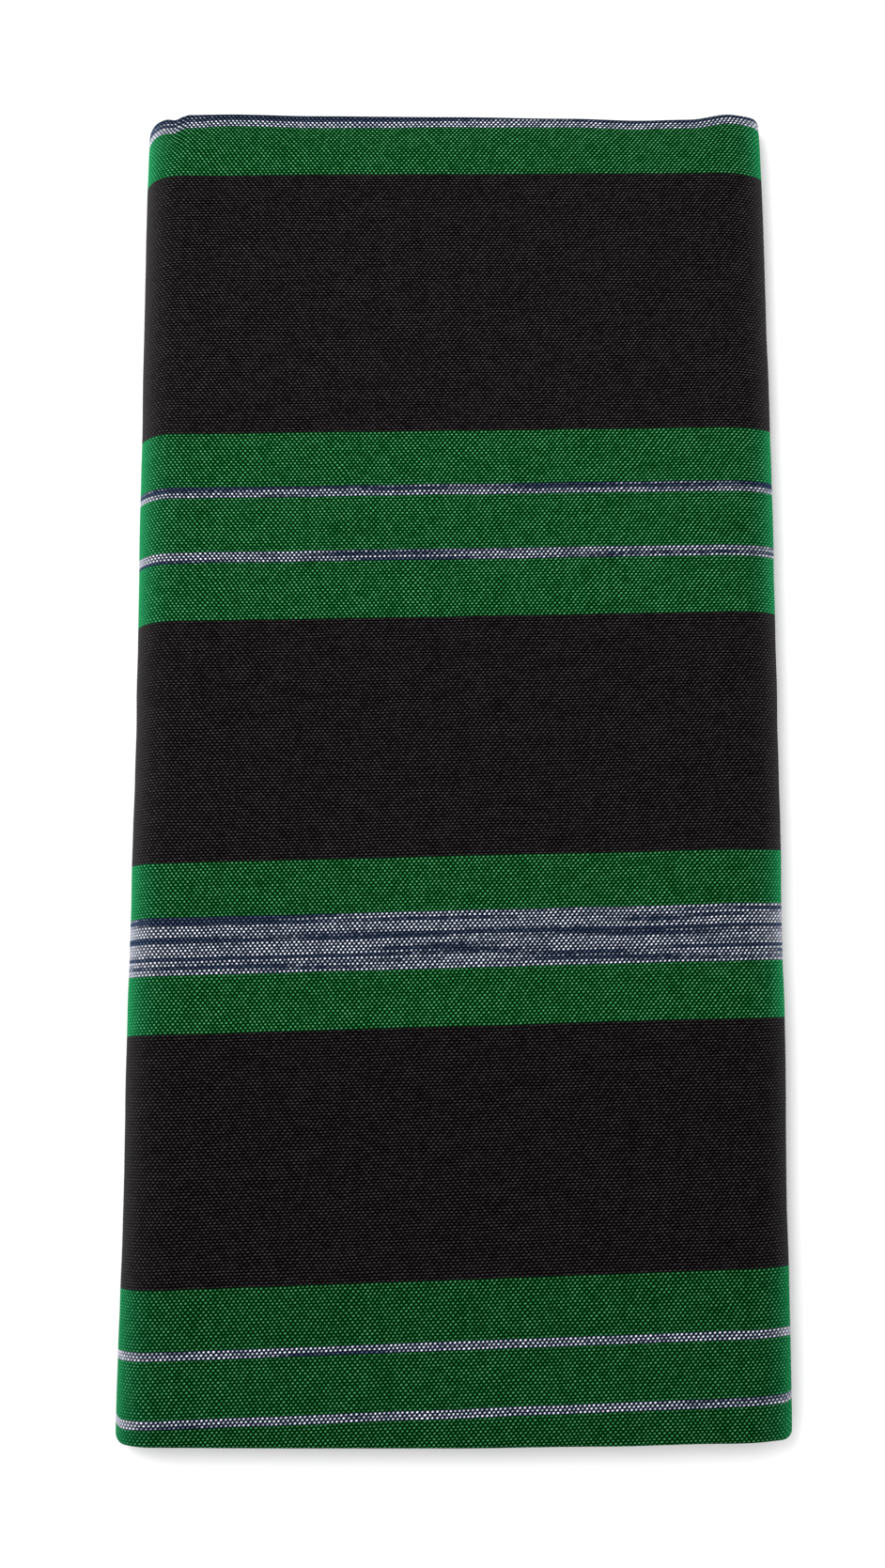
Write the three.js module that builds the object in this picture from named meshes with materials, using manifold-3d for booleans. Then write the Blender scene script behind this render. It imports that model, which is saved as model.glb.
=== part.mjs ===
// A lungi, folded and lying flat: a striped cotton tube, halved along its length and
// then halved twice across its width, so that sixteen layers lie in one long packet.
// Millimetres, +Z up, +Y along the packet, origin under the middle of the packet.

import * as THREE from 'three';
import { mergeVertices } from 'three/addons/utils/BufferGeometryUtils.js';
import Module from 'manifold-3d';

// The cut cloth and the layers it is folded into
const CLOTH_LENGTH = 2300;
const LAYERS_ALONG = 4;
const LAYERS = 16;
const LAYER = 1.2;
const GAP = 0.3;

// The packet
const LENGTH = CLOTH_LENGTH / LAYERS_ALONG;
const WIDTH = 276;
const THICKNESS = LAYERS * LAYER;
const HALF_LENGTH = LENGTH / 2;
const LEFT = -WIDTH / 2;
const RIGHT = WIDTH / 2;

// One strip is four layers thick. The stack that it makes is turned over at the left
// fold, round the middle of the packet, and at the right fold, inside the upper half.
const STRIP = LAYERS_ALONG * LAYER;
const MIDDLE = THICKNESS / 2;
const LEFT_CENTRE = vector(LEFT + 10.4, MIDDLE);

// The left fold, seen along the packet: how far it runs in from the side under its widest
// place and above it, the height of that place, and how straight its soft shoulder slopes
const LEFT_FOLD = { under: 8, shoulder: 15, widest: 8.2, slopeIn: 4, slopeUp: 3.7 };

// The right fold, whose lower lip turns in over the lower half of the packet
const RIGHT_FOLD = { lip: 1.7, shoulder: 20, slopeIn: 7, slopeUp: 3.7, tucked: 14 };

// The line inside the upper half where the layers of the right fold close up
const CLOSES_FROM = vector(RIGHT - RIGHT_FOLD.shoulder, THICKNESS - STRIP);
const CLOSES_AT = vector(RIGHT - 3.4, MIDDLE + 2.2);
const TUCK_CLOSES_AT = vector(RIGHT - RIGHT_FOLD.tucked, THICKNESS - STRIP - 1.2);

// The layers inside the right fold stop short of its tip, and the woven edges of the lower
// half end a little inside the fold above them
const TIP_EMPTY = 4.6;
const SELVEDGE_IN = 4;
const SELVEDGE_SIDE = RIGHT - 3;

// The end folds: the far one turns four layers, the near one turns two
const FAR_FOLD = 2;
const NEAR_FOLD = 1.15;
const TURNED_IN = 3;

// How the packet's far end slopes down, and the rounded corners of its plan
const FAR_SLOPE = { run: 18, drop: 4, from: 2, to: 17 };
const CORNERS = [
  { side: -1, end: 1, radius: 7 },
  { side: 1, end: 1, radius: 4.5 },
  { side: -1, end: -1, radius: 4.5 },
  { side: 1, end: -1, radius: 4.5 },
];
const CORNER_REACH = 40;

// Grooves between the layers, where they show at the edges
const END_GROOVE = { mouth: 1.5, depth: 2.4 };
const SELVEDGE_GROOVE = { mouth: 0.7, depth: 1.6 };
const CORE_IN = 0.7;

// How deep in from the outer face the layers keep their thickness round the folds
const WALL_REACH = LAYER + GAP;

// How finely the forms are divided
const CURVE_STEPS = 8;
const ARC_STEPS = 4;
const END_STATIONS = [4, 9, 15, 22, 40];
const MIDDLE_STATIONS = 5;

const wasm = await Module();
wasm.setup();

// Places along a straight run, closer together near both sides of the packet
const RUN = [0.03, 0.08, 0.16, 0.5, 0.84, 0.92, 0.97];

function vector(x, z) {
  return new THREE.Vector2(x, z);
}

function scaledAbout(centre, points, scale) {
  return points.map((p) => p.clone().sub(centre).multiplyScalar(scale).add(centre));
}

function arc(x, z, reachX, reachZ, from, to, steps) {
  return new THREE.EllipseCurve(x, z, reachX, reachZ, from, to, to < from).getPoints(steps);
}

// The left fold's outer line, from the underside up to the top face
function leftFoldLine() {
  const { under, shoulder, widest, slopeIn, slopeUp } = LEFT_FOLD;
  const lower = arc(LEFT + under, widest, under, widest, 1.5 * Math.PI, Math.PI, CURVE_STEPS);
  const upper = new THREE.CubicBezierCurve(
    vector(LEFT, widest),
    vector(LEFT, widest + slopeUp),
    vector(LEFT + shoulder - slopeIn, THICKNESS),
    vector(LEFT + shoulder, THICKNESS),
  );
  return [...lower, ...upper.getPoints(CURVE_STEPS).slice(1)];
}

// The right fold's outer line, from the top face down to its tucked lower lip
function rightFoldLine() {
  const { lip, shoulder, slopeIn, slopeUp } = RIGHT_FOLD;
  const widest = MIDDLE + lip;
  const upper = new THREE.CubicBezierCurve(
    vector(RIGHT - shoulder, THICKNESS),
    vector(RIGHT - shoulder + slopeIn, THICKNESS),
    vector(RIGHT, widest + slopeUp),
    vector(RIGHT, widest),
  );
  const lower = arc(RIGHT - lip, widest, lip, lip, 0, -Math.PI / 2, ARC_STEPS);
  return [...upper.getPoints(CURVE_STEPS), ...lower.slice(1)];
}

const LEFT_LINE = leftFoldLine();
const RIGHT_LINE = rightFoldLine();

function leftFold(scale) {
  return scaledAbout(LEFT_CENTRE, LEFT_LINE, scale);
}

function run(from, to) {
  return RUN.map((share) => from.clone().lerp(to, share));
}

function joined(start, left, right, end) {
  return [start, ...run(start, left[0]), ...left, ...run(left.at(-1), right[0]), ...right, end];
}

// Where the outer face of the packet lies: from the woven edge under it, round the left
// fold, over the top, and round the right fold to the end of its tucked lip
const FACE = joined(
  vector(RIGHT - SELVEDGE_IN, 0),
  LEFT_LINE,
  RIGHT_LINE,
  vector(RIGHT - RIGHT_FOLD.tucked, MIDDLE),
);

// The same line four layers in, half way round the left fold and closed at the right one
const CLOSED = joined(
  vector(RIGHT - SELVEDGE_IN, STRIP),
  leftFold(1 - STRIP / MIDDLE),
  RIGHT_LINE.map((p, i) => CLOSES_FROM.clone().lerp(CLOSES_AT, Math.min(i / CURVE_STEPS, 1))),
  TUCK_CLOSES_AT,
);

// The line that a layer follows round the outside of the packet, at a depth in from its
// outer face. It keeps its distance as far as the wall goes and then closes up.
function outerLine(depth, spare = 0) {
  const square = Math.min(depth, WALL_REACH);
  const closing = Math.max(depth - WALL_REACH, 0) / (STRIP - WALL_REACH);
  return FACE.map((p, i) => {
    const before = FACE[Math.max(i - 1, 0)];
    const after = FACE[Math.min(i + 1, FACE.length - 1)];
    const along = after.clone().sub(before).normalize();
    const end = (i === FACE.length - 1) - (i === 0);
    const point = p.clone().addScaledVector(along, end * spare);
    point.add(vector(-along.y, along.x).multiplyScalar(-square));
    return point.lerp(CLOSED[i], closing);
  });
}

// The rest of that line, folded inside: back under the top face and round the left fold
function innerLine(depth) {
  const left = leftFold(depth / MIDDLE).reverse();
  const end = vector(RIGHT, MIDDLE - depth);
  return [...left, ...run(left.at(-1), end), end];
}

// How far a corner of the packet is drawn in, at a place across its width
function cornerDraw(x, y) {
  const corner = CORNERS.find((c) => c.side === (x < 0 ? -1 : 1) && c.end === (y < 0 ? -1 : 1));
  const past = Math.max(Math.abs(x) - (WIDTH / 2 - corner.radius), 0);
  const reach = Math.min(past / corner.radius, 1);
  return corner.radius * (1 - Math.sqrt(1 - reach * reach));
}

// The packet's rounded corners and the slope at its far end
function settled(x, y, z) {
  const nearEnd = THREE.MathUtils.smoothstep(Math.abs(y), HALF_LENGTH - CORNER_REACH, HALF_LENGTH);
  const slope = Math.max((y - (HALF_LENGTH - FAR_SLOPE.run)) / FAR_SLOPE.run, 0);
  const share = THREE.MathUtils.clamp((z - FAR_SLOPE.from) / (FAR_SLOPE.to - FAR_SLOPE.from), 0, 1);
  return new THREE.Vector3(
    x,
    y - Math.sign(y) * cornerDraw(x, y) * nearEnd,
    z - FAR_SLOPE.drop * Math.pow(slope, 1.2) * share,
  );
}

// Places along the packet, closer together near its ends
function stations(nearIn, farIn) {
  const near = END_STATIONS.filter((d) => d > nearIn + 0.5).map((d) => d - HALF_LENGTH);
  const far = END_STATIONS.filter((d) => d > farIn + 0.5).map((d) => HALF_LENGTH - d);
  const inner = HALF_LENGTH - END_STATIONS.at(-1);
  const middle = [];
  for (let i = 1; i < MIDDLE_STATIONS; i++) {
    middle.push(-inner + (2 * inner * i) / MIDDLE_STATIONS);
  }
  return [nearIn - HALF_LENGTH, ...near, ...middle, ...far.reverse(), HALF_LENGTH - farIn];
}

// A closed body through rings of equal count, with both ends closed by flat caps
function body(rings, caps) {
  const count = rings[0].length;
  const position = rings.flat().flatMap((p) => [p.x, p.y, p.z]);
  const index = [];
  for (let i = 0; i + 1 < rings.length; i++) {
    for (let k = 0; k < count; k++) {
      const a = i * count + k;
      const b = i * count + ((k + 1) % count);
      index.push(a, b, b + count, a, b + count, a + count);
    }
  }
  const last = (rings.length - 1) * count;
  const turned = THREE.ShapeUtils.isClockWise(caps);
  for (const [a, b, c] of THREE.ShapeUtils.triangulateShape(caps, [])) {
    const face = turned ? [a, b, c] : [c, b, a];
    index.push(...face, ...face.map((i) => last + i).reverse());
  }
  const geometry = new THREE.BufferGeometry();
  geometry.setAttribute('position', new THREE.Float32BufferAttribute(position, 3));
  geometry.setIndex(index);
  return mergeVertices(outward(geometry), 1e-5);
}

// Turns the faces round if they enclose a negative volume
function outward(geometry) {
  const p = geometry.getAttribute('position');
  const index = geometry.getIndex().array;
  const corner = [new THREE.Vector3(), new THREE.Vector3(), new THREE.Vector3()];
  let volume = 0;
  for (let i = 0; i < index.length; i += 3) {
    corner.forEach((v, k) => v.fromBufferAttribute(p, index[i + k]));
    volume += corner[0].dot(corner[1].cross(corner[2]));
  }
  if (volume < 0) {
    for (let i = 0; i < index.length; i += 3) {
      [index[i], index[i + 1]] = [index[i + 1], index[i]];
    }
  }
  return geometry;
}

function solid(geometry) {
  return new wasm.Manifold(new wasm.Mesh({
    numProp: 3,
    vertProperties: Float32Array.from(geometry.getAttribute('position').array),
    triVerts: Uint32Array.from(geometry.getIndex().array),
  }));
}

function shape(manifold) {
  const mesh = manifold.getMesh();
  const geometry = new THREE.BufferGeometry();
  geometry.setAttribute('position', new THREE.Float32BufferAttribute(mesh.vertProperties, 3));
  geometry.setIndex(Array.from(mesh.triVerts));
  return geometry;
}

// The outer layer cut along the packet: depth and place of each corner of its wall. The far
// end is hooked round the layer inside it, and the near end is folded flat on itself.
function wallSection(grow) {
  const outerDepth = -grow;
  const innerDepth = LAYER + grow;
  const line = stations(NEAR_FOLD, FAR_FOLD);
  const farCentre = HALF_LENGTH - FAR_FOLD;
  const nearCentre = NEAR_FOLD - HALF_LENGTH;
  const points = line.map((y) => [outerDepth, y]);
  const arc = (centre, middle, radius, from, to) => {
    for (let i = 1; i < ARC_STEPS; i++) {
      const angle = from + ((to - from) * i) / ARC_STEPS;
      points.push([middle - radius * Math.cos(angle), centre + radius * Math.sin(angle)]);
    }
  };
  const farOuter = FAR_FOLD + grow;
  const farInner = FAR_FOLD - innerDepth;
  arc(farCentre, FAR_FOLD, farOuter, 0, Math.PI);
  points.push([2 * FAR_FOLD + grow, farCentre]);
  points.push([2 * FAR_FOLD + grow, farCentre - TURNED_IN - grow]);
  points.push([2 * FAR_FOLD - innerDepth, farCentre - TURNED_IN - grow]);
  points.push([2 * FAR_FOLD - innerDepth, farCentre]);
  arc(farCentre, FAR_FOLD, farInner, Math.PI, 0);
  const foot = nearCentre + TURNED_IN + grow;
  const back = line.filter((y) => y > foot + 0.3).reverse();
  points.push(...back.map((y) => [innerDepth, y]));
  points.push([innerDepth, foot]);
  points.push([2 * NEAR_FOLD + grow, foot]);
  points.push([2 * NEAR_FOLD + grow, nearCentre]);
  arc(nearCentre, NEAR_FOLD, NEAR_FOLD + grow, Math.PI, 2 * Math.PI);
  return points;
}

// The outer layer, swept round the packet along the line that it follows
function outerCloth(grow = 0) {
  const section = wallSection(grow);
  const lines = section.map(([depth]) => outerLine(depth, grow));
  const rings = lines[0].map((_, i) => section.map(([, y], k) => (
    settled(lines[k][i].x, y, lines[k][i].y)
  )));
  return body(rings, section.map(([depth, y]) => vector(y, depth)));
}

// All the layers that the outer one hides, as one rounded block that is still too big
function layerBlock() {
  const depth = LAYER / 2;
  const tip = RIGHT - TIP_EMPTY;
  const outline = outerLine(depth).slice(1, -1).map((p) => vector(Math.min(p.x, tip), p.y));
  outline.unshift(vector(SELVEDGE_SIDE, WALL_REACH));
  outline.push(vector(SELVEDGE_SIDE, MIDDLE + depth));
  const rings = stations(CORE_IN, CORE_IN).map((y) => outline.map((p) => settled(p.x, y, p.y)));
  return body(rings, outline);
}

// A sharp groove that follows a line on one end of the packet
function endGroove(line, end, { mouth, depth }) {
  const rings = line.map((p, i) => {
    const before = line[Math.max(i - 1, 0)];
    const after = line[Math.min(i + 1, line.length - 1)];
    const across = after.clone().sub(before).normalize().multiplyScalar(mouth / 2);
    const y = end * (HALF_LENGTH - CORE_IN);
    return [
      settled(p.x - across.y, y + end, p.y + across.x),
      settled(p.x + across.y, y + end, p.y - across.x),
      settled(p.x, y - end * depth, p.y),
    ];
  });
  return body(rings, [vector(0, 0), vector(1, 0), vector(0, 1)]);
}

// A sharp groove between two woven edges, along the right side of the packet
function selvedgeGroove(z, { mouth, depth }) {
  const rings = stations(-1, -1).map((y) => [
    settled(SELVEDGE_SIDE + 1, y, z + mouth),
    settled(SELVEDGE_SIDE + 1, y, z - mouth),
    settled(SELVEDGE_SIDE - depth, y, z),
  ]);
  return body(rings, [vector(0, 0), vector(1, 0), vector(0, 1)]);
}

function withoutRepeats(line) {
  return line.filter((p, i) => i === 0 || p.distanceTo(line[i - 1]) > 0.2);
}

// Where the layers part at the ends: round each strip, and down the middle of it
function endLines() {
  const betweenStrips = outerLine(STRIP).slice(0, -RIGHT_LINE.length);
  const rightMiddle = vector(RIGHT, MIDDLE);
  const betweenHalves = [rightMiddle, ...run(rightMiddle, LEFT_CENTRE)];
  const insideStrip = [...outerLine(STRIP / 2).slice(0, -1), ...innerLine(STRIP / 2)];
  return {
    far: [betweenStrips, betweenHalves],
    near: [betweenStrips, betweenHalves, insideStrip],
  };
}

function hiddenLayers() {
  let block = solid(layerBlock()).subtract(solid(outerCloth(GAP)));
  const lines = endLines();
  for (const line of lines.far) {
    block = block.subtract(solid(endGroove(withoutRepeats(line), 1, END_GROOVE)));
  }
  for (const line of lines.near) {
    block = block.subtract(solid(endGroove(withoutRepeats(line), -1, END_GROOVE)));
  }
  for (let i = 2; i < LAYERS / 2; i++) {
    block = block.subtract(solid(selvedgeGroove(i * LAYER, SELVEDGE_GROOVE)));
  }
  const pieces = block.decompose().sort((a, b) => b.volume() - a.volume());
  return shape(pieces[0]);
}

function clothMaterial(color, roughness) {
  return new THREE.MeshStandardMaterial({ color, roughness, metalness: 0 });
}

function piece(name, geometry, material) {
  const mesh = new THREE.Mesh(geometry, material);
  mesh.name = name;
  return mesh;
}

const lungi = new THREE.Group();
lungi.add(piece('outer_cloth', outerCloth(), clothMaterial('#26302a', 0.9)));
lungi.add(piece('hidden_layers', hiddenLayers(), clothMaterial('#0f7a35', 0.9)));

const box = new THREE.Box3().setFromObject(lungi);
lungi.children.forEach((mesh) => mesh.geometry.translate(
  -(box.min.x + box.max.x) / 2,
  -(box.min.y + box.max.y) / 2,
  -box.min.z,
));

export default lungi;
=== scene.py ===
import math

import bpy
import numpy as np
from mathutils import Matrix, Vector, geometry, noise


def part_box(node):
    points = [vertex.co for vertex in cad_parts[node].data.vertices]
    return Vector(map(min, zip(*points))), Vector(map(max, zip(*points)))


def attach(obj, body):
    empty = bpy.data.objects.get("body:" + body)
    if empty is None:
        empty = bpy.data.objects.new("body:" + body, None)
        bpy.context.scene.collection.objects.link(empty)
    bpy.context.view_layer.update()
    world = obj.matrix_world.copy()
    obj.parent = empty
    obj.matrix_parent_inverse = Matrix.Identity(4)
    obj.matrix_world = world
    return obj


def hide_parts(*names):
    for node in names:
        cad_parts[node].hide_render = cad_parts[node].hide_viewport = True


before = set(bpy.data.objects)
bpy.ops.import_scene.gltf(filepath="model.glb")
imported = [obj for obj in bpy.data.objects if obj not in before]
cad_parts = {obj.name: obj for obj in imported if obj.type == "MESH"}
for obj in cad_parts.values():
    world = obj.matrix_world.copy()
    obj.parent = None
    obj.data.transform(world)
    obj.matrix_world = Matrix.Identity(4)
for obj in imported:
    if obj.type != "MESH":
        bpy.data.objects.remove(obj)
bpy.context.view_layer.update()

bpy.ops.object.select_all(action="DESELECT")

# The outer layer
# The lungi is one tube of plain-woven cotton, pressed flat in sixteen layers. Only the
# outermost shows: it runs from its selvedge under the packet, round the left fold, over the
# top and in at the right fold, and its ends turn in round the near and the far end folds.

# Every length is in millimetres. The tube is halved along its length into a strip of four
# layers, the strip is halved twice across, and each layer follows the line of its own depth
MM = 0.001
box_low, box_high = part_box("outer_cloth")
LENGTH = (box_high.y - box_low.y) / MM
WIDTH = (box_high.x - box_low.x) / MM
THICKNESS = (box_high.z - box_low.z) / MM
LAYERS = 16
LAYER = THICKNESS / LAYERS
OUTERMOST = LAYER / 2
STRIP = 4 * LAYER
MIDDLE = THICKNESS / 2
LEFT = -WIDTH / 2
RIGHT = WIDTH / 2
NEAR = -LENGTH / 2
FAR = LENGTH / 2
CLOTH = 1.05
SELVEDGE_IN = 4


def point(x, z):
    return np.array([x, z], float)


def run(start, end, count):
    """Points from start up to, but not at, the end of a straight stretch."""
    return [start + (end - start) * i / count for i in range(count)]


def quarter(centre, reach_x, reach_z, start, end, count):
    """Points of an elliptical arc, the last one included."""
    angles = np.radians(np.linspace(start, end, count + 1))
    return [centre + point(reach_x * math.cos(a), reach_z * math.sin(a)) for a in angles]


def bent(a, b, c, d, count):
    """Points of a cubic curve, the last one included."""
    knots = [Vector((p[0], p[1], 0)) for p in (a, b, c, d)]
    return [point(p.x, p.y) for p in geometry.interpolate_bezier(*knots, count + 1)]


# The left fold goes round the whole stack: it is widest low down, with a long soft shoulder.
# The right fold goes round the upper half alone, and turns in tightly beneath it
LEFT_CENTRE = point(LEFT + 10.4, MIDDLE)
LEFT_ROUND = point(5.5, 5.2)
LEFT_ROUND_STEPS = 9
LEFT_SHOULDER = (point(LEFT + 0.7, 9.6), point(LEFT + 7, THICKNESS), point(LEFT + 16, THICKNESS))
LEFT_SHOULDER_STEPS = 13
LEFT_LINE = (
    quarter(point(LEFT, 0) + LEFT_ROUND, *LEFT_ROUND, 270, 180, LEFT_ROUND_STEPS)
    + bent(point(LEFT, LEFT_ROUND[1]), *LEFT_SHOULDER, LEFT_SHOULDER_STEPS)[1:]
)
SHOULDER_IN = 20
RIGHT_SHOULDER = (
    point(RIGHT - SHOULDER_IN, THICKNESS), point(RIGHT - 11, THICKNESS), point(RIGHT - 0.6, 14.4),
)
RIGHT_SHOULDER_STEPS = 14
RIGHT_ROUND = 1.7
RIGHT_ROUND_STEPS = 5
RIGHT_WIDEST = point(RIGHT, MIDDLE + RIGHT_ROUND)
RIGHT_LINE = (
    bent(*RIGHT_SHOULDER, RIGHT_WIDEST, RIGHT_SHOULDER_STEPS)
    + quarter(RIGHT_WIDEST - point(RIGHT_ROUND, 0), RIGHT_ROUND, RIGHT_ROUND, 0, -90,
              RIGHT_ROUND_STEPS)[1:]
)

# How far the cloth is tucked in at the right, and the grid's columns on the flat stretches
TUCK = 14
TOP_STEPS = 76
UNDER_STEPS = 26
TUCK_STEPS = 4


def round_the_packet(start, left, right, end):
    """One line round the outside: under, left fold, over, right fold, and tucked in."""
    under = run(start, left[0], UNDER_STEPS)
    over = run(left[-1], right[0], TOP_STEPS)[1:]
    return np.array(under + left + over + right + run(right[-1], end, TUCK_STEPS)[1:] + [end])


def left_fold(scale):
    """The left fold's line, drawn in towards the middle of the fold."""
    return [LEFT_CENTRE + (p - LEFT_CENTRE) * scale for p in LEFT_LINE]


# The outside of the packet, and the line on which the strip's innermost face closes
FACE = round_the_packet(
    point(RIGHT - SELVEDGE_IN, 0), LEFT_LINE, RIGHT_LINE, point(RIGHT - TUCK, MIDDLE)
)
CLOSES_FROM = point(RIGHT - SHOULDER_IN, THICKNESS - STRIP)
CLOSES_AT = point(RIGHT - 3.4, MIDDLE + 2.2)
TUCK_DROP = 1.2
CLOSED = round_the_packet(
    point(RIGHT - SELVEDGE_IN, STRIP),
    left_fold(STRIP / MIDDLE),
    [CLOSES_FROM + (CLOSES_AT - CLOSES_FROM) * min(i / RIGHT_SHOULDER_STEPS, 1)
     for i in range(len(RIGHT_LINE))],
    point(RIGHT - TUCK, THICKNESS - STRIP - TUCK_DROP),
)
WALL_REACH = 1.5


def outer_line(depth):
    """Where a layer at that depth runs round the outside of the packet."""
    along = np.gradient(FACE, axis=0)
    along /= np.linalg.norm(along, axis=1)[:, None]
    inward = np.stack([along[:, 1], -along[:, 0]], axis=1)
    square = FACE + inward * min(depth, WALL_REACH)
    closing = max(depth - WALL_REACH, 0) / (STRIP - WALL_REACH)
    return square + (CLOSED - square) * closing


def lengths_along(line):
    steps = np.linalg.norm(np.diff(line, axis=0), axis=1)
    return np.concatenate([[0], np.cumsum(steps)])


TOP_LINE = lengths_along(outer_line(OUTERMOST))
TOP_START = UNDER_STEPS + len(LEFT_LINE)
TOP_MIDDLE = (TOP_LINE[TOP_START] + TOP_LINE[TOP_START + TOP_STEPS - 1]) / 2

# Creases and soft ridges of the pressed top: where, which way the crease runs (degrees
# from +X), its length and width, and how far it rises or, below 0, sinks
CREASES = [
    {"x": 51.5, "y": -151, "way": 88, "long": 27, "wide": 1.6, "rise": -0.5},
    {"x": 55, "y": -150, "way": 88, "long": 30, "wide": 3.2, "rise": 0.28},
    {"x": 0, "y": 188, "way": 91, "long": 55, "wide": 5, "rise": 0.32},
    {"x": -92, "y": 205, "way": 68, "long": 40, "wide": 14, "rise": 0.35},
    {"x": 84, "y": -190, "way": 25, "long": 60, "wide": 22, "rise": -0.55},
    {"x": -66, "y": -205, "way": 8, "long": 55, "wide": 10, "rise": -0.35},
    {"x": 72, "y": 20, "way": 80, "long": 60, "wide": 12, "rise": -0.4},
    {"x": -98, "y": 12, "way": 100, "long": 50, "wide": 9, "rise": 0.3},
    {"x": 30, "y": 226, "way": 5, "long": 40, "wide": 6, "rise": -0.3},
    {"x": 96, "y": 204, "way": 120, "long": 26, "wide": 5, "rise": -0.35},
    {"x": -40, "y": -40, "way": 95, "long": 80, "wide": 8, "rise": -0.22},
]
CREASE_SWAY = 0.8
CREASE_TURN = 2.6

# How the far edge rises and falls across the packet and how far the cloth has slipped over
# it, how far the near edge is drawn in, and how far the long sides stand out to the right
# of a straight line
FAR_EDGE = [
    {"x": -138, "rise": -0.8, "slip": 2.2},
    {"x": -130, "rise": -0.5, "slip": 2.2},
    {"x": -125, "rise": -1.7, "slip": 2.1},
    {"x": -119, "rise": 0.7, "slip": 1.5},
    {"x": -100, "rise": 1.0, "slip": 0.9},
    {"x": -62, "rise": 0.1, "slip": 1.1},
    {"x": 0, "rise": -0.4, "slip": 0.4},
    {"x": 52, "rise": -1.2, "slip": -0.2},
    {"x": 84, "rise": -2.2, "slip": -0.2},
    {"x": 106, "rise": -1.7, "slip": 0.0},
    {"x": 126, "rise": 1.4, "slip": 0.0},
    {"x": 138, "rise": 1.8, "slip": 0.2},
]
RISE_REACH = 34
RISE_STOP = 2
RISE_OUTWARDS = 0.45
RISE_UPWARDS = 0.9
SLIP_REACH = 22
SLIP_STOP = 6
NEAR_EDGE = [
    {"x": -138, "drawn": 0.8},
    {"x": -60, "drawn": 0.5},
    {"x": 0, "drawn": 0.5},
    {"x": 60, "drawn": 1.2},
    {"x": 110, "drawn": 2.3},
    {"x": 138, "drawn": 3.0},
]
DRAWN_REACH = 60
SIDE_EDGES = [
    {"y": -288, "left": -0.8, "right": -1.0},
    {"y": -200, "left": -0.1, "right": -0.6},
    {"y": -100, "left": -0.2, "right": 0.5},
    {"y": 0, "left": 0.4, "right": 0.9},
    {"y": 130, "left": -0.4, "right": 1.4},
    {"y": 200, "left": -0.7, "right": 0.9},
    {"y": 288, "left": -0.5, "right": 0.0},
]

# Both ends slope down over their last stretch, the upper layers more than the lower ones,
# and each corner of the packet is rounded
END_SLOPES = {1: {"run": 18, "drop": 4}, -1: {"run": 11, "drop": 2.2}}
SLOPE_CURVE = 1.3
SLOPES_FROM = 2
SLOPES_TO = 17
CORNERS = {(-1, 1): 5.5, (1, 1): 3.2, (-1, -1): 4.5, (1, -1): 4.5}
CORNER_REACH = 40

# Slight seeded waves of the top, which fade at its edges, and of the long sides, where the
# shorter ones change with the height too
TOP_WAVES = [{"rise": 0.22, "size": 46, "seed": 3.1}, {"rise": 0.12, "size": 19, "seed": 8.4}]
TOP_MARGIN = 12
SIDE_WAVES = {"rise": 0.35, "size": 55, "seed": 5.0}
SIDE_LAYERS = {"rise": 0.16, "size": 17, "seed": 9.0}
SIDE_REACH = 38


def smooth(start, end, value):
    share = np.clip((value - start) / (end - start), 0, 1)
    return share * share * (3 - 2 * share)


def eased(table, by, column, place):
    """The table's column at each place, eased from one row to the next."""
    result = np.full_like(place, table[0][column])
    for before, after in zip(table, table[1:]):
        result += (after[column] - before[column]) * smooth(before[by], after[by], place)
    return result


def waves(x, y, rise, size, seed):
    """Seeded smooth noise of that rise, for places in millimetres."""
    return rise * np.array([noise.noise(Vector((a / size, b / size, seed))) for a, b in zip(x, y)])


def drawn_in(x, y):
    return eased(NEAR_EDGE, "x", "drawn", x) * smooth(NEAR + DRAWN_REACH, NEAR, y)


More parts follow.
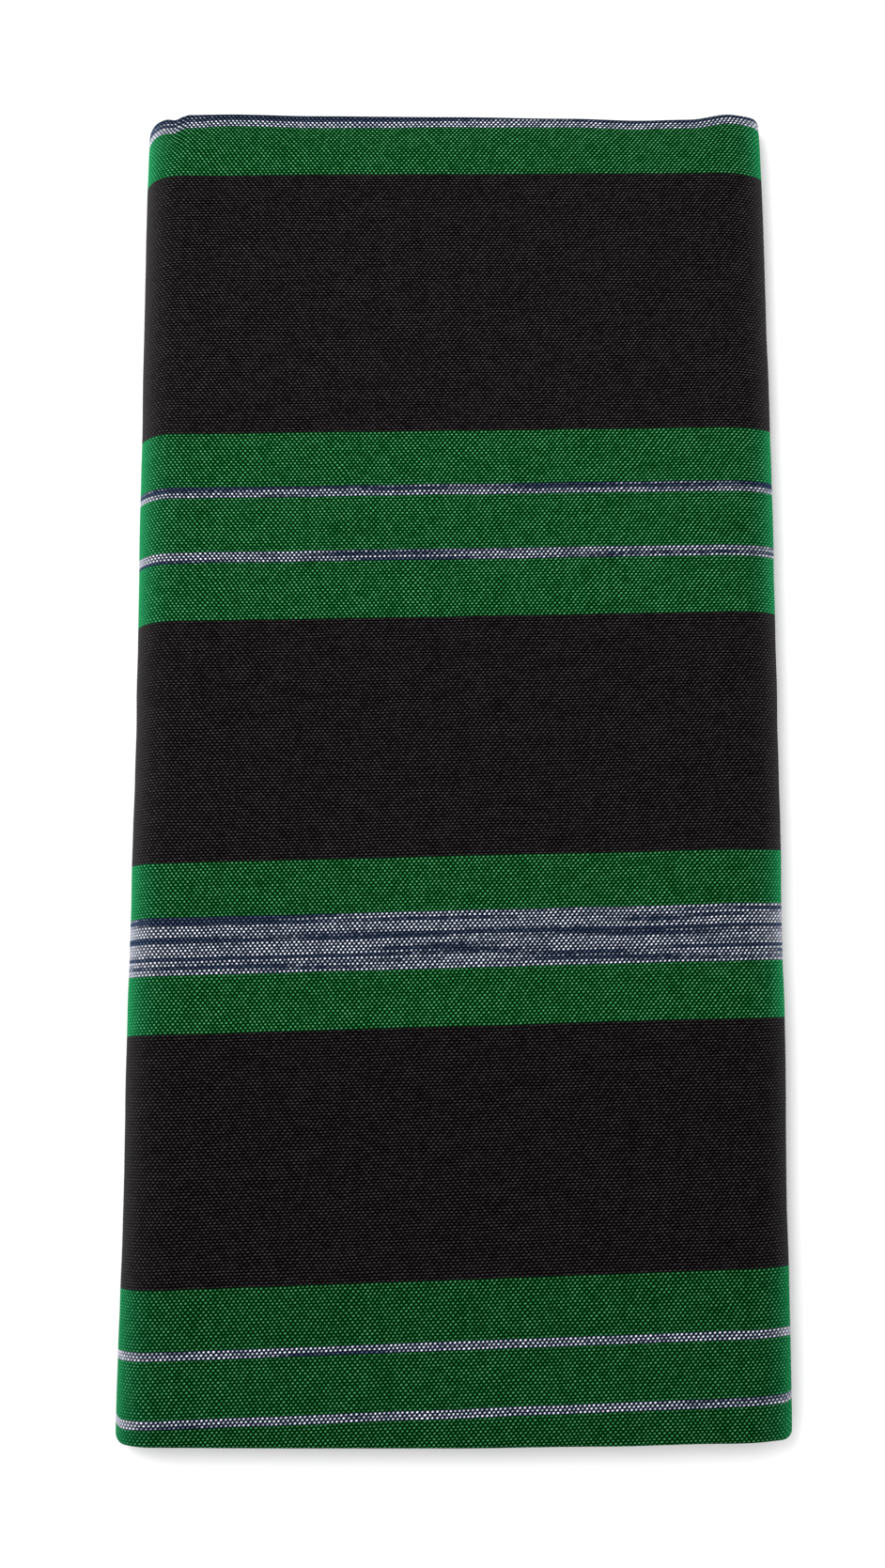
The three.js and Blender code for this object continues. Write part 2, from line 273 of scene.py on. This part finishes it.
def settle(x, y, z):
    """Where a point of the straight stack comes to lie once the packet has been pressed."""
    upper = np.clip((z - SLOPES_FROM) / (SLOPES_TO - SLOPES_FROM), 0, 1)
    height = np.clip(z / THICKNESS, 0, 1)
    at_an_end = smooth(FAR - CORNER_REACH, FAR, np.abs(y))
    radius = np.select(
        [(np.sign(x) == side) & (np.sign(y) == end) for side, end in CORNERS],
        list(CORNERS.values()), CORNERS[(1, 1)],
    )
    past = np.clip((np.abs(x) - (RIGHT - radius)) / radius, 0, 1)
    rounding = radius * (1 - np.sqrt(1 - past * past))
    rise = eased(FAR_EDGE, "x", "rise", x) * smooth(FAR - RISE_REACH, FAR - RISE_STOP, y)
    new_y = y - np.sign(y) * rounding * at_an_end + RISE_OUTWARDS * rise * upper + drawn_in(x, y)
    new_z = z + RISE_UPWARDS * rise * upper
    for end, slope in END_SLOPES.items():
        down = np.clip((y * end - (FAR - slope["run"])) / slope["run"], 0, None)
        new_z = new_z - slope["drop"] * down ** SLOPE_CURVE * upper
    relief = sum(waves(x, y, **wave) for wave in TOP_WAVES)
    for crease in CREASES:
        way = math.radians(crease["way"])
        along = (x - crease["x"]) * math.cos(way) + (y - crease["y"]) * math.sin(way)
        across = (y - crease["y"]) * math.cos(way) - (x - crease["x"]) * math.sin(way)
        across = across + CREASE_SWAY * np.sin(along / crease["long"] * CREASE_TURN + crease["x"])
        relief += crease["rise"] * np.exp(-((along / crease["long"]) ** 4)
                                          - (across / crease["wide"]) ** 2)
    inside = smooth(0, TOP_MARGIN, RIGHT - np.abs(x)) * smooth(0, TOP_MARGIN, FAR - np.abs(y))
    new_z = new_z + relief * height ** 2 * inside
    to_right = np.clip(x / RIGHT * 0.5 + 0.5, 0, 1)
    bow = eased(SIDE_EDGES, "y", "left", y)
    bow = bow + (eased(SIDE_EDGES, "y", "right", y) - bow) * to_right
    side = np.clip((np.abs(x) - (RIGHT - SIDE_REACH)) / SIDE_REACH, 0, 1) * np.sign(x)
    new_x = x + bow + side * (waves(y, 0 * z, **SIDE_WAVES) + waves(y, z, **SIDE_LAYERS))
    return np.stack([new_x, new_y, new_z], axis=1)


def fold_sheet(name, rows, line, first=0):
    """A flat grid of cloth, folded: each row lies at one depth and one place along the
    packet, and the columns follow the line that its depth takes across the packet."""
    lines = {depth: line(depth) for depth in sorted({row["depth"] for row in rows})}
    count = len(next(iter(lines.values())))
    bpy.ops.mesh.primitive_grid_add(
        x_subdivisions=count - 1, y_subdivisions=len(rows) - 1, size=1, calc_uvs=True
    )
    sheet = bpy.context.active_object
    sheet.name = name
    sheet.data.name = name
    x = np.concatenate([lines[row["depth"]][:, 0] for row in rows])
    z = np.concatenate([lines[row["depth"]][:, 1] for row in rows])
    y = np.repeat([row["y"] for row in rows], count)
    s = np.repeat([row["s"] for row in rows], count)
    t = np.tile(first + lengths_along(line(OUTERMOST)), len(rows))
    return sheet, x, y, z, s, t


# The stripes lie a little askew on the packet: they rise to the right by this share of
# the distance across at the near fold, and by less and less towards the far one
SKEW = 0.0394
SKEW_ENDS = 624

# The painted sheen of the side folds: how much lighter they are painted at their outermost, and how
# quickly that fades inwards
SHEEN_LEFT = {"share": 0.6, "fade": 4}
SHEEN_RIGHT = {"share": 0.5, "fade": 2.8}


def finish_sheet(sheet, x, y, z, s, t):
    """Moves the grid's points to their folded place, and gives the cloth its own map in
    metres, the marks for the painted sheen of its side folds, and its thickness."""
    mesh = sheet.data
    mesh.vertices.foreach_set("co", (settle(x, y, z) * MM).astype(np.float32).ravel())
    while mesh.uv_layers:
        mesh.uv_layers.remove(mesh.uv_layers[0])
    cloth_map = mesh.uv_layers.new(name="cloth")
    corners = np.zeros(len(mesh.loops), int)
    mesh.loops.foreach_get("vertex_index", corners)
    slip = eased(FAR_EDGE, "x", "slip", x) * smooth(FAR - SLIP_REACH, FAR - SLIP_STOP, y)
    along = s + drawn_in(x, y) + slip
    along = along - SKEW * (1 - along / SKEW_ENDS) * (t - TOP_MIDDLE)
    places = np.stack([t, along], axis=1)[corners] * MM
    cloth_map.data.foreach_set("uv", places.astype(np.float32).ravel())
    # Painted sheen: the side folds are marked to be painted lighter, most at their outermost edge
    sheen_marks = mesh.attributes.new("fold", "FLOAT", "POINT")
    painted_sheen = SHEEN_LEFT["share"] * np.exp((LEFT - x) / SHEEN_LEFT["fade"])
    painted_sheen = painted_sheen + SHEEN_RIGHT["share"] * np.exp((x - RIGHT) / SHEEN_RIGHT["fade"])
    sheen_marks.data.foreach_set("value", painted_sheen.astype(np.float32))
    bpy.ops.object.select_all(action="DESELECT")
    sheet.select_set(True)
    bpy.context.view_layer.objects.active = sheet
    wall = sheet.modifiers.new("thickness", "SOLIDIFY")
    wall.thickness = CLOTH * MM
    wall.offset = 0
    bpy.ops.object.modifier_apply(modifier=wall.name)
    bpy.ops.object.shade_smooth()
    sheet.select_set(False)
    return sheet


def straight(depth, places, to_s):
    """Rows of a straight stretch, each with its place y and its place s on the flat cloth."""
    return [{"depth": round(depth, 4), "y": y, "s": to_s(y)} for y in places]


def turned(centre_y, centre_depth, radius, start, end, s, steps):
    """Rows of the half turn at an end fold. Angles are from the outer side, in degrees."""
    rows = []
    for i in range(1, steps):
        share = i / steps
        angle = math.radians(start + (end - start) * share)
        rows.append({
            "depth": round(centre_depth - radius * math.cos(angle), 4),
            "y": centre_y + radius * math.sin(angle),
            "s": s + radius * abs(math.radians(end - start)) * share * (1 if end > start else -1),
        })
    return rows


# How far from an end the rows lie closer together, and how soon they spread out from it
CLOSE_REACH = 30
CLOSE_SPREAD = 12


def stations(start, end, step, end_step):
    """Places along the packet from start to end, closer together near both ends."""
    ends = [0]
    while ends[-1] < CLOSE_REACH:
        ends.append(ends[-1] + end_step * (1 + ends[-1] / CLOSE_SPREAD))
    middle = max(int((abs(end - start) - 2 * ends[-1]) / step), 2)
    sign = 1 if end > start else -1
    inner = np.linspace(start + sign * ends[-1], end - sign * ends[-1], middle + 1)[1:-1]
    return [start + sign * e for e in ends] + list(inner) + [end - sign * e for e in ends[::-1]]


# The depths of the strip's four layers, and the half turns at its ends: tight at the near
# end, straight on to the next layer, and wider at the far end, round the two layers between
DEPTHS = [LAYER * (i + 0.5) for i in range(4)]
NEAR_RADIUS = LAYER / 2
NEAR_TURN_STEPS = 6
FAR_RADIUS = LAYER * 1.5
FAR_TURN_STEPS = 10
NEAR_CENTRE = NEAR + NEAR_RADIUS + CLOTH / 2
FAR_CENTRE = FAR - FAR_RADIUS - CLOTH / 2

# The outer layer's rows, from where it is turned in at the near end to the same at the far
TURNED_IN = 4
OUTER_ROWS = {"step": 3.4, "end_step": 0.9}
outer_rows = (
    straight(DEPTHS[1], [NEAR_CENTRE + TURNED_IN, NEAR_CENTRE + TURNED_IN / 2], lambda y: NEAR - y)
    + straight(DEPTHS[1], [NEAR_CENTRE], lambda y: NEAR - y)
    + turned(NEAR_CENTRE, LAYER, NEAR_RADIUS, 180, 360, NEAR - NEAR_CENTRE, NEAR_TURN_STEPS)
    + straight(DEPTHS[0], stations(NEAR_CENTRE, FAR_CENTRE, **OUTER_ROWS), lambda y: y - NEAR)
    + turned(FAR_CENTRE, 2 * LAYER, FAR_RADIUS, 0, 180, FAR_CENTRE - NEAR, FAR_TURN_STEPS)
    + straight(DEPTHS[3], [FAR_CENTRE, FAR_CENTRE - TURNED_IN / 2, FAR_CENTRE - TURNED_IN],
               lambda y: 2 * (FAR_CENTRE - NEAR) + math.pi * FAR_RADIUS - (y - NEAR))
)
outer_layer = finish_sheet(*fold_sheet("outer_layer", outer_rows, outer_line))


def linear(hex_colour):
    """An sRGB hex colour as linear red, green, blue and alpha."""
    parts = [int(hex_colour[i:i + 2], 16) / 255 for i in (1, 3, 5)]
    return [c / 12.92 if c <= 0.04045 else ((c + 0.055) / 1.055) ** 2.4 for c in parts] + [1]


def add(tree, kind, inputs=(), **settings):
    """Adds a node with its settings, and sets or links each of its inputs. A node that is
    given for an input stands for its first output."""
    made = tree.nodes.new(kind)
    for name, value in settings.items():
        setattr(made, name, value)
    for key, value in dict(inputs).items():
        if isinstance(value, bpy.types.Node):
            value = next(output for output in value.outputs if output.enabled)
        if isinstance(value, bpy.types.NodeSocket):
            tree.links.new(value, made.inputs[key])
        else:
            made.inputs[key].default_value = value
    return made


# The weaver's plan, by its count of yarns 1.2 mm apart, from the middle of the near green
# band to the middle of the next broad ikat stripe, where it turns back on itself. A stripe's
# painted shading scales its colour: painted shade, darker the nearer a green or black stripe
# lies to the near end, and one ikat stripe at the far end scaled lighter. "white" is how
# much more or, below 0, how much less of an ikat yarn was tied off and stayed white
YARN = 1.2
PATTERN_START = 27.7
STRIPES = [
    {"kind": "green", "yarns": 10, "painted_shading": 0.74},
    {"kind": "ikat", "yarns": 1, "white": 0.1},
    {"kind": "ikat", "yarns": 2, "white": 0.13},
    {"kind": "green", "yarns": 20, "painted_shading": 0.72},
    {"kind": "black", "yarns": 85, "painted_shading": 0.78},
    {"kind": "green", "yarns": 20, "painted_shading": 0.87},
    {"kind": "ikat", "yarns": 2, "white": 0.14},
    {"kind": "ikat", "yarns": 2, "white": 0.02},
    {"kind": "ikat", "yarns": 1, "white": 0.05},
    {"kind": "ikat", "yarns": 1, "white": -0.1},
    {"kind": "ikat", "yarns": 4, "white": 0.1},
    {"kind": "ikat", "yarns": 1, "white": 0.04},
    {"kind": "ikat", "yarns": 1, "white": -0.05},
    {"kind": "ikat", "yarns": 1, "white": -0.14},
    {"kind": "ikat", "yarns": 4, "white": 0.1},
    {"kind": "ikat", "yarns": 1, "white": 0.05},
    {"kind": "ikat", "yarns": 1, "white": -0.07},
    {"kind": "ikat", "yarns": 1, "white": 0.0},
    {"kind": "green", "yarns": 19, "painted_shading": 0.88},
    {"kind": "black", "yarns": 86, "painted_shading": 0.88},
    {"kind": "green", "yarns": 21, "painted_shading": 0.93},
    {"kind": "ikat", "yarns": 1, "white": 0.03},
    {"kind": "ikat", "yarns": 2, "white": 0.09},
    {"kind": "ikat", "yarns": 1, "white": 0.05},
    {"kind": "green", "yarns": 20, "painted_shading": 0.94},
    {"kind": "ikat", "yarns": 2, "white": 0.12},
    {"kind": "ikat", "yarns": 2, "white": -0.08},
    {"kind": "green", "yarns": 20, "painted_shading": 0.94},
    {"kind": "black", "yarns": 99, "painted_shading": 0.95},
    {"kind": "green", "yarns": 20, "painted_shading": 0.95},
    {"kind": "ikat", "yarns": 3, "white": 0.3, "painted_shading": 1.2},
    {"kind": "ikat", "yarns": 7, "white": -0.13},
]

# Each yarn shows as floats just under 2 mm apart between the dark yarns that cross it. They
# lean as the yarn is twisted, and towards the far end the press pulled them out sideways
FLOAT = 1.88
LEAN = 0.13
PULLED = 0.42
PULL_REACH = 88

# How quickly a float falls away from its crown, along its length and across it
BLACK_FALL = {"along": 0.6, "across": 1.5}
COLOURED_FALL = {"along": 1.35, "across": 1.1}

# The tied and dyed lengths of an ikat yarn, how far they shift from one yarn to the next,
# how frayed their ends are, and where navy turns to white
DYED_LENGTH = 90
DYED_SHIFT = 0.83
DYED_FRAY = 0.05
NAVY_UP_TO = 0.45
WHITE_FROM = 0.59

# A yarn's tones: the gap beside a float in painted shade, its side, its crown in a painted
# highlight, and the painted sheen of a fold
YARNS = {
    "black": ("#030202", "#141213", "#403d3e", "#545253"),
    "green": ("#001c02", "#034a1e", "#5aa673", "#2bc178"),
    "white": ("#050912", "#4b566a", "#f8faff", "#d6d9e6"),
    "navy": ("#060a13", "#212b3d", "#56637c", "#445a7c"),
}
TONES_AT = (0.04, 0.45, 1.0)

# How bright the floats are at least, and what chance, fuzz and patches of thicker spinning
# add to them
BRIGHT = 0.37
BRIGHTER = {"chance": 0.36, "fuzz": 0.5, "patch": 0.36}
FUZZ_SIZE = 0.3125
PATCH_SIZE = 9

# The yarns wander a little, and the weave stands up in floats, crossing yarns and fuzz
WANDER_SIZE = 21
WANDER = (3.4, 0.8, 0)
WEAVE_HEIGHT = 0.28
CROSSING_SHARE = 0.55
FUZZ_SHARE = 0.35
MATH = "ShaderNodeMath"
VECTORS = "ShaderNodeVectorMath"


def hand_woven_cotton(name, tone):
    """Coarse hand-woven cotton, matt, with a soft fuzz, and a painted sheen that lightens its side
    folds. Dark yarns cross the coloured ones, and each float shows as a bright dot on a dark
    ground, with a painted highlight on its crown and painted shade beside it. The green and
    black stripes are painted darker towards the near end. In the ikat stripes each yarn was
    tied and dyed, white and navy by turns."""
    material = bpy.data.materials.new(name)
    material.use_nodes = True
    tree = material.node_tree
    tree.nodes.clear()
    cloth = add(tree, "ShaderNodeUVMap", uv_map="cloth")
    in_mm = add(tree, VECTORS, {0: cloth, "Scale": 1 / MM}, operation="SCALE")
    wander = add(tree, "ShaderNodeTexNoise", {"Vector": in_mm, "Scale": 1 / WANDER_SIZE, "Detail": 1.5})
    wander = add(tree, VECTORS, {0: wander.outputs["Color"], 1: (0.5, 0.5, 0.5)}, operation="SUBTRACT")
    place = add(tree, VECTORS, {0: wander, 1: WANDER, 2: in_mm}, operation="MULTIPLY_ADD")
    place = add(tree, "ShaderNodeSeparateXYZ", {0: place})
    along, across = place.outputs["X"], place.outputs["Y"]

    # Which yarn lies here, where on it, and which of its floats this is
    yarns_up = {0: across, 1: 1 / YARN, 2: 0.5 - PATTERN_START / YARN}
    rows = add(tree, MATH, yarns_up, operation="MULTIPLY_ADD")
    row = add(tree, MATH, {0: rows}, operation="FLOOR")
    in_row = add(tree, MATH, {0: rows}, operation="FRACT")
    from_middle = {0: along, 1: 1 / PULL_REACH, 2: -TOP_MIDDLE / PULL_REACH}
    sideways = add(tree, MATH, from_middle, operation="MULTIPLY_ADD")
    sideways = add(tree, MATH, {0: sideways}, operation="SINE")
    far_off = add(tree, MATH, {0: across, 1: 1 / LENGTH}, operation="MULTIPLY", use_clamp=True)
    pull = add(tree, MATH, {0: sideways, 1: far_off}, operation="MULTIPLY")
    lean = add(tree, MATH, {0: pull, 1: -PULLED, 2: -LEAN}, operation="MULTIPLY_ADD")
    half_row = add(tree, MATH, {0: row, 1: 0.5}, operation="MULTIPLY")
    half_row = add(tree, MATH, {0: in_row, 1: lean, 2: half_row}, operation="MULTIPLY_ADD")
    floats = add(tree, MATH, {0: along, 1: 1 / FLOAT, 2: half_row}, operation="MULTIPLY_ADD")
    cell = add(tree, MATH, {0: floats}, operation="FLOOR")
    chance = add(tree, "ShaderNodeCombineXYZ", {"X": cell, "Y": row})
    chance = add(tree, "ShaderNodeTexWhiteNoise", {"Vector": chance}, noise_dimensions="2D")

    # Each stripe's first yarn changes what is passed on from the stripe before it
    plan_length = sum(stripe["yarns"] for stripe in STRIPES) - 1
    number = add(tree, MATH, {0: row, 1: plan_length}, operation="PINGPONG")
    passed = {"green": 1.0, "ikat": 0.0, "white": 0.0, "painted_shading": STRIPES[0]["painted_shading"] * tone}
    first_yarn = 0
    for before, after in zip(STRIPES, STRIPES[1:]):
        first_yarn += before["yarns"]
        reached = add(tree, MATH, {0: number, 1: first_yarn - 0.5}, operation="GREATER_THAN")
        change = {
            "green": (after["kind"] == "green") - (before["kind"] == "green"),
            "ikat": (after["kind"] == "ikat") - (before["kind"] == "ikat"),
            "white": after.get("white", 0) - before.get("white", 0),
            "painted_shading": (after.get("painted_shading", 1) - before.get("painted_shading", 1)) * tone,
        }
        for key, step in change.items():
            if step:
                inputs = {0: reached, 1: step, 2: passed[key]}
                passed[key] = add(tree, MATH, inputs, operation="MULTIPLY_ADD")
    green, ikat = passed["green"], passed["ikat"]

    # One float: round along its length and across it, and longer on the black yarns
    turn = add(tree, MATH, {0: floats, 1: 2 * math.pi}, operation="MULTIPLY")
    lift = add(tree, MATH, {0: turn}, operation="COSINE")
    lift = add(tree, MATH, {0: lift, 1: -0.5, 2: 0.5}, operation="MULTIPLY_ADD")
    ridge = add(tree, MATH, {0: in_row, 1: math.pi}, operation="MULTIPLY")
    ridge = add(tree, MATH, {0: ridge}, operation="SINE")
    coloured = add(tree, MATH, {0: green, 1: ikat}, operation="ADD")
    slopes = []
    for way, profile in (("along", lift), ("across", ridge)):
        fall = {0: coloured, 1: COLOURED_FALL[way] - BLACK_FALL[way], 2: BLACK_FALL[way]}
        fall = add(tree, MATH, fall, operation="MULTIPLY_ADD")
        slopes.append(add(tree, MATH, {0: profile, 1: fall}, operation="POWER"))
    crown = add(tree, MATH, dict(enumerate(slopes)), operation="MULTIPLY")

    # The tied and dyed yarns: long white and navy lengths, shifted from yarn to yarn
    dyed_x = add(tree, MATH, {0: along, 1: 1 / DYED_LENGTH}, operation="MULTIPLY")
    dyed_y = add(tree, MATH, {0: row, 1: DYED_SHIFT}, operation="MULTIPLY")
    dyed = add(tree, "ShaderNodeCombineXYZ", {"X": dyed_x, "Y": dyed_y})
    dyed = add(tree, "ShaderNodeTexNoise", {"Vector": dyed, "Scale": 1, "Detail": 1})
    dyed = add(tree, MATH, {0: chance, 1: DYED_FRAY, 2: dyed}, operation="MULTIPLY_ADD")
    dyed = add(tree, MATH, {0: dyed, 1: passed["white"]}, operation="ADD")
    white = add(tree, "ShaderNodeMapRange", {0: dyed, 1: NAVY_UP_TO, 2: WHITE_FROM})

    # Uneven spinning and fuzz, and the painted sheen that lightens the floats of the side folds
    fold = add(tree, "ShaderNodeAttribute", attribute_name="fold")
    fuzz = add(tree, "ShaderNodeTexNoise", {"Vector": in_mm, "Scale": 1 / FUZZ_SIZE, "Detail": 2})
    patch = add(tree, "ShaderNodeTexNoise", {"Vector": in_mm, "Scale": 1 / PATCH_SIZE, "Detail": 2})
    bright = add(tree, MATH, {0: chance, 1: BRIGHTER["chance"], 2: BRIGHT}, operation="MULTIPLY_ADD")
    bright = add(tree, MATH, {0: fuzz, 1: BRIGHTER["fuzz"], 2: bright}, operation="MULTIPLY_ADD")
    bright = add(tree, MATH, {0: patch, 1: BRIGHTER["patch"], 2: bright}, operation="MULTIPLY_ADD")
    # Painted highlight and shade: the crown of each float takes a lighter tone and the gap beside it a
    # darker one, over the dark yarns that really cross it
    float_shading_level = add(tree, MATH, {0: crown, 1: bright}, operation="MULTIPLY")
    tones = {}
    for yarn, colours in YARNS.items():
        float_shaded_tones = add(tree, "ShaderNodeValToRGB", {0: float_shading_level})
        float_shaded_tones.color_ramp.elements.new(0.5)
        for stop, at, colour in zip(float_shaded_tones.color_ramp.elements, TONES_AT, colours):
            stop.position = at
            stop.color = linear(colour)
        # Painted sheen: each tone is mixed towards the yarn's lighter fold tone where the side folds are
        # marked
        inputs = {0: fold.outputs["Fac"], 6: float_shaded_tones, 7: linear(colours[3])}
        tones[yarn] = add(tree, "ShaderNodeMix", inputs, data_type="RGBA")
    tied = add(tree, "ShaderNodeMix", {0: white, 6: tones["navy"], 7: tones["white"]}, data_type="RGBA")
    plain = add(tree, "ShaderNodeMix", {0: green, 6: tones["black"], 7: tones["green"]}, data_type="RGBA")
    colour = add(tree, "ShaderNodeMix", {0: ikat, 6: plain, 7: tied}, data_type="RGBA")
    # Painted shade: the colour is scaled by the stripe's painted shading, darker towards the near end
    colour = add(tree, VECTORS, {0: colour, "Scale": passed["painted_shading"]}, operation="SCALE")

    # The relief of the weave: each float, the yarn that crosses it, and the fuzz on both
    crossing = add(tree, MATH, {0: 1.0, 1: lift}, operation="SUBTRACT")
    crossing = add(tree, MATH, {0: crossing, 1: ridge}, operation="MULTIPLY")
    height = add(tree, MATH, {0: crossing, 1: CROSSING_SHARE, 2: crown}, operation="MULTIPLY_ADD")
    height = add(tree, MATH, {0: fuzz, 1: FUZZ_SHARE, 2: height}, operation="MULTIPLY_ADD")
    relief = {"Strength": 0.7, "Distance": WEAVE_HEIGHT * MM, "Height": height}
    bump = add(tree, "ShaderNodeBump", relief)
    shader = add(tree, "ShaderNodeBsdfPrincipled", {
        "Base Color": colour,
        "Normal": bump,
        "Roughness": 0.9,
        "Specular IOR Level": 0.0,
        "Sheen Weight": 0.02,
        "Sheen Roughness": 0.3,
    })
    add(tree, "ShaderNodeOutputMaterial", {"Surface": shader})
    return material


outer_layer.data.materials.append(hand_woven_cotton("hand_woven_striped_cotton", 1.0))
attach(outer_layer, "root")
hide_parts("outer_cloth")


# The layers inside
# The other fifteen layers are the same cloth, folded with the outer one. They show only
# as rolls at the far and near ends and as woven edges, one on another, low on the right.
BACK_STEPS = 24
INNER_ROWS = {"step": 16, "end_step": 2.2}
INNER_TURN_STEPS = 8
SEAM_Y = FAR - FAR_RADIUS - LAYER


def inner_line(depth):
    """On from the outer line: back under the top, round inside the left fold, and out."""
    start = outer_line(depth)[-1]
    left = left_fold(depth / MIDDLE)[::-1]
    back = run(start, left[0], BACK_STEPS)
    end = point(RIGHT - SELVEDGE_IN, MIDDLE - depth)
    return np.array(back + left + run(left[-1], end, UNDER_STEPS)[1:] + [end])


def seam_to_far_fold():
    """Rows from the hidden seam at the far end, by the near fold, and back to the far one."""
    near_turn = turned(NEAR_CENTRE, 3 * LAYER, NEAR_RADIUS, 180, 360, 0, NEAR_TURN_STEPS)
    for row in near_turn:
        row["s"] = 2 * LENGTH - (NEAR - NEAR_CENTRE) + row["s"]
    to_near = stations(SEAM_Y, NEAR_CENTRE, **INNER_ROWS)
    to_far = stations(NEAR_CENTRE, FAR_CENTRE, **INNER_ROWS)
    return (
        straight(DEPTHS[2], to_near, lambda y: 2 * LENGTH + y - NEAR)
        + [dict(row, depth=round(6 * LAYER - row["depth"], 4)) for row in near_turn]
        + straight(DEPTHS[3], to_far, lambda y: 2 * LENGTH + NEAR - y)
    )


def near_fold_to_seam():
    """Rows from the near fold to the hidden seam at the far end."""
    return straight(DEPTHS[1], stations(NEAR_CENTRE, SEAM_Y, **INNER_ROWS), lambda y: NEAR - y)


# Three of the outer half's four layers are hidden, in two sheets that part at the seam. The
# inner half's four are all hidden, in one sheet
outer_half = [seam_to_far_fold(), near_fold_to_seam()]
inner_half = (
    seam_to_far_fold()
    + turned(FAR_CENTRE, 2 * LAYER, FAR_RADIUS, 180, 0, LENGTH + math.pi * FAR_RADIUS, INNER_TURN_STEPS)
    + straight(DEPTHS[0], stations(FAR_CENTRE, NEAR_CENTRE, **INNER_ROWS), lambda y: y - NEAR)
    + turned(NEAR_CENTRE, LAYER, NEAR_RADIUS, 360, 180, 0, NEAR_TURN_STEPS)
    + near_fold_to_seam()
)

# How the woven edges stray, layer by layer, and the end rolls, one for every two layers
EDGES_REACH = 26
EDGES = {"play": 0.9, "size": 90, "apart": 3.3, "seed": 1.7, "swing": 1.8, "shift": -0.2}
ROLLS_REACH = 30
ROLLS = {"play": 0.7, "size": 70, "apart": 7.7, "seed": 6.1, "swing": 1.6, "shift": -0.5}


def strays(places, numbers, habit):
    """How far each numbered edge or roll strays at its places along the packet's side."""
    size, apart, seed = habit["size"], habit["apart"], habit["seed"]
    spots = [Vector((a / size, b * apart, seed)) for a, b in zip(places, numbers)]
    return np.array([noise.noise(spot) * habit["swing"] + habit["shift"] for spot in spots])


def unevenly(sheet, x, y, z, s, t):
    """The woven edges and the end rolls of the inner layers don't line up exactly."""
    lower_right = smooth(RIGHT - EDGES_REACH, RIGHT - SELVEDGE_IN, x) * (z < MIDDLE)
    edges = strays(y, np.round(z / LAYER), EDGES)
    ends = smooth(ROLLS_REACH, 0, FAR - np.abs(y)) * np.sign(y)
    rolls = strays(x, np.round(z / (2 * LAYER)), ROLLS)
    new_x = x + EDGES["play"] * lower_right * edges
    new_y = y + ROLLS["play"] * ends * rolls
    return sheet, new_x, new_y, z, s, t


hidden = []
for number, rows in enumerate(outer_half):
    sheet = fold_sheet(f"hidden_{number}", rows, outer_line)
    hidden.append(finish_sheet(*unevenly(*sheet)))
sheet = fold_sheet("hidden_inner", inner_half, inner_line, first=TOP_LINE[-1])
hidden.append(finish_sheet(*unevenly(*sheet)))
for sheet in hidden:
    sheet.select_set(True)
bpy.context.view_layer.objects.active = hidden[0]
bpy.ops.object.join()
inner_layers = bpy.context.active_object
inner_layers.name = "inner_layers"
inner_layers.data.name = "inner_layers"
inner_layers.select_set(False)
inner_layers.data.materials.append(hand_woven_cotton("hand_woven_inner_cotton", 0.97))
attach(inner_layers, "root")
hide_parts("hidden_layers")


# The studio
# The packet lies on plain white paper, under a broad soft light from the far left and even
# light from all round. The camera looks down on it, and leans a little towards its far end.
bpy.ops.mesh.primitive_plane_add(size=40, location=(0, 0, 0))
floor = bpy.context.active_object
floor.name = "floor"
floor.select_set(False)
paper = bpy.data.materials.new("white_paper")
paper.use_nodes = True
paper_shader = paper.node_tree.nodes["Principled BSDF"]
paper_shader.inputs["Base Color"].default_value = linear("#f4f4f4")
paper_shader.inputs["Roughness"].default_value = 0.9
paper_shader.inputs["Specular IOR Level"].default_value = 0.1
floor.data.materials.append(paper)

world = bpy.data.worlds.new("studio")
world.use_nodes = True
world.node_tree.nodes["Background"].inputs["Color"].default_value = (1, 1, 1, 1)
world.node_tree.nodes["Background"].inputs["Strength"].default_value = 1.02
bpy.context.scene.world = world

key = bpy.data.lights.new("key", "AREA")
key.shape = "DISK"
key.size = 0.85
key.energy = 13
key_light = bpy.data.objects.new("key", key)
key_light.location = (-0.55, 0.45, 1.3)
key_light.rotation_euler = (Vector((0, 0, 0)) - key_light.location).to_track_quat("-Z", "Y").to_euler()
bpy.context.scene.collection.objects.link(key_light)

bpy.context.scene.view_settings.view_transform = "Standard"

camera_data = bpy.data.cameras.new("camera")
camera_data.sensor_width = 36
camera_data.lens = 39.41
camera = bpy.data.objects.new("camera", camera_data)
camera.location = (-5 * MM, -119.6 * MM, 737.4 * MM)
camera.rotation_euler = (math.radians(8.1), 0, 0)
bpy.context.scene.collection.objects.link(camera)
bpy.context.scene.camera = camera
